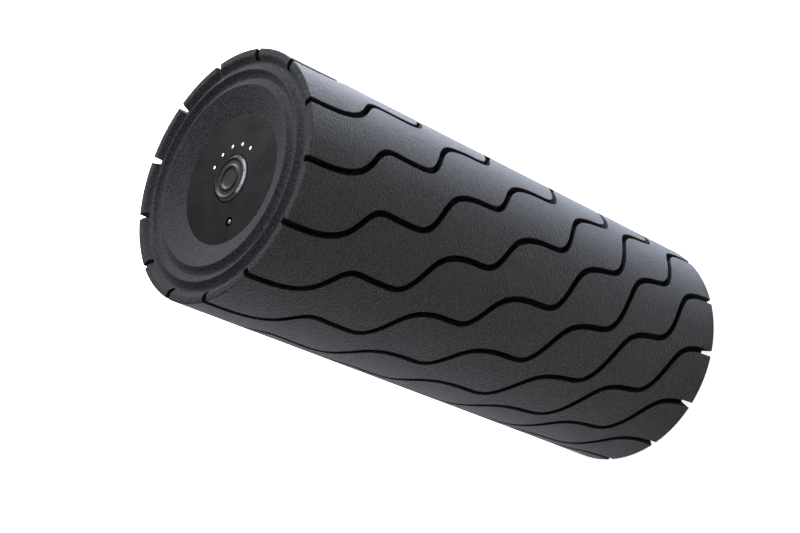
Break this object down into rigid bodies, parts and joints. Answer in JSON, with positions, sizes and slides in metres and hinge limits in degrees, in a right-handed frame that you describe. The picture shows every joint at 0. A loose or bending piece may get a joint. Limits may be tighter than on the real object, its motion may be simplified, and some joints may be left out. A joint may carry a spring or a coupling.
{
  "type": "foam roller",
  "caption": "Vibrating massage roller with a wave-grooved foam sleeve over a battery-powered core, and a recessed control disc with a push button, lights and a charging socket on one end.",
  "frame": {"origin": "centre of the plain end, where the roller's lowest points lie", "axes": "+Z along the roller's axis towards the control end; +Y towards the arc of lights on the control disc, -Y towards the charging socket"},
  "size_m": [0.127, 0.127, 0.295],
  "materials": {
    "sleeve_foam": "matt closed-cell foam with a fine grain",
    "ring_foam": "matt moulded foam, slightly lighter than the sleeve",
    "core_plastic": "moulded plastic",
    "cap_plastic": "moulded plastic",
    "disc_plastic": "smooth satin plastic",
    "button_plastic": "smooth satin plastic with a polished edge",
    "clear_plastic": "clear light-guide plastic",
    "led_package": "white LED package",
    "board_laminate": "green solder mask",
    "black_plastic": "moulded plastic",
    "bright_steel": "polished metal",
    "screw_steel": "zinc-plated steel",
    "bearing_steel": "ground steel",
    "zinc_steel": "plated steel",
    "ferrite": "sintered magnet",
    "lamination_steel": "stacked laminations",
    "commutator_brass": "copper segments",
    "cell_wrap": "shrink-wrapped cell",
    "lead_red": "wire insulation",
    "lead_black": "wire insulation"
  },
  "bodies": {
    "roller": {"battery_board": "board_laminate", "battery_cell_1": "cell_wrap", "battery_cell_2": "cell_wrap", "battery_cell_3": "cell_wrap", "battery_lead": "lead_red", "bearing_outer_lower": "bearing_steel", "bearing_outer_upper": "bearing_steel", "board_screw_1": "screw_steel", "board_screw_2": "screw_steel", "board_screw_3": "screw_steel", "cap_control_end": "cap_plastic", "cap_plain_end": "cap_plastic", "cap_screw_control_end_1": "screw_steel", "cap_screw_control_end_2": "screw_steel", "cap_screw_control_end_3": "screw_steel", "cap_screw_plain_end_1": "screw_steel", "cap_screw_plain_end_2": "screw_steel", "cap_screw_plain_end_3": "screw_steel", "control_board": "board_laminate", "control_chip": "black_plastic", "control_disc": "disc_plastic", "core_screw_1": "screw_steel", "core_screw_2": "screw_steel", "core_screw_3": "screw_steel", "core_screw_4": "screw_steel", "core_shell_left": "core_plastic", "core_shell_right": "core_plastic", "foam_ring_control_end": "ring_foam", "foam_ring_plain_end": "ring_foam", "foam_sleeve": "sleeve_foam", "jack_body": "black_plastic", "jack_pin": "bright_steel", "led_1": "led_package", "led_2": "led_package", "led_3": "led_package", "led_4": "led_package", "led_5": "led_package", "light_guide": "clear_plastic", "motor_can": "zinc_steel", "motor_cover": "black_plastic", "motor_lead": "lead_black", "motor_magnet_1": "ferrite", "motor_magnet_2": "ferrite", "plain_disc": "disc_plastic", "switch_body": "black_plastic"},
    "button": {"power_button": "button_plastic", "switch_plunger": "bright_steel"},
    "rotor": {"drive_shaft": "bright_steel", "motor_rotor": "lamination_steel", "motor_commutator": "commutator_brass", "weight_upper": "zinc_steel", "weight_lower": "zinc_steel", "bearing_inner_upper": "bearing_steel", "bearing_inner_lower": "bearing_steel"},
    "balls_upper": {"bearing_balls_upper": "bearing_steel"},
    "balls_lower": {"bearing_balls_lower": "bearing_steel"}
  },
  "joints": [
    {"name": "button_press", "type": "slide", "parent": "roller", "child": "button", "axis": [0, 0, -1], "range_m": [0, 0.0008], "stiffness_N_per_m": 2500},
    {"name": "rotor_spin", "type": "hinge", "parent": "roller", "child": "rotor", "pos_m": [0, 0, 0.163], "axis": [0, 0, 1], "continuous": true},
    {"name": "balls_upper_spin", "type": "hinge", "parent": "roller", "child": "balls_upper", "pos_m": [0, 0, 0.2145], "axis": [0, 0, 1], "continuous": true},
    {"name": "balls_lower_spin", "type": "hinge", "parent": "roller", "child": "balls_lower", "pos_m": [0, 0, 0.1115], "axis": [0, 0, 1], "continuous": true}
  ],
  "couplings": [
    {"joint": "balls_upper_spin", "follows": "rotor_spin", "ratio": 0.412},
    {"joint": "balls_lower_spin", "follows": "rotor_spin", "ratio": 0.412}
  ]
}
